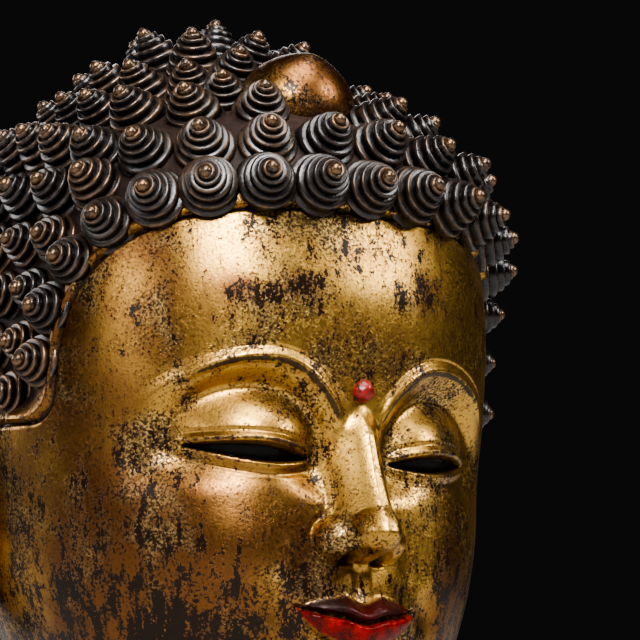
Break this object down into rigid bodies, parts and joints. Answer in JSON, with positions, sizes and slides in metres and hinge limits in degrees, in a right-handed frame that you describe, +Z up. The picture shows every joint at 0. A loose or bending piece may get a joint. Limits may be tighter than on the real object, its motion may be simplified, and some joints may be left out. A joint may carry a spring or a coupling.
{
  "type": "buddha head sculpture",
  "caption": "Gilded bronze buddha head with snail-shell curls, topknot and long ears, cut flat at the neck to stand on its own underside.",
  "frame": {"origin": "centre of the neck's flat cut, on the head's middle plane", "axes": "+Z up through the crown, face towards -Y, +X to the viewer's right"},
  "size_m": [0.2222, 0.239, 0.332],
  "materials": {
    "gilt_bronze": "worn gold leaf over black lacquer on cast bronze, curls in dark patina",
    "red_stone": "polished opaque red stone"
  },
  "bodies": {
    "root": {"head": "gilt_bronze", "urna": "red_stone"}
  },
  "joints": []
}
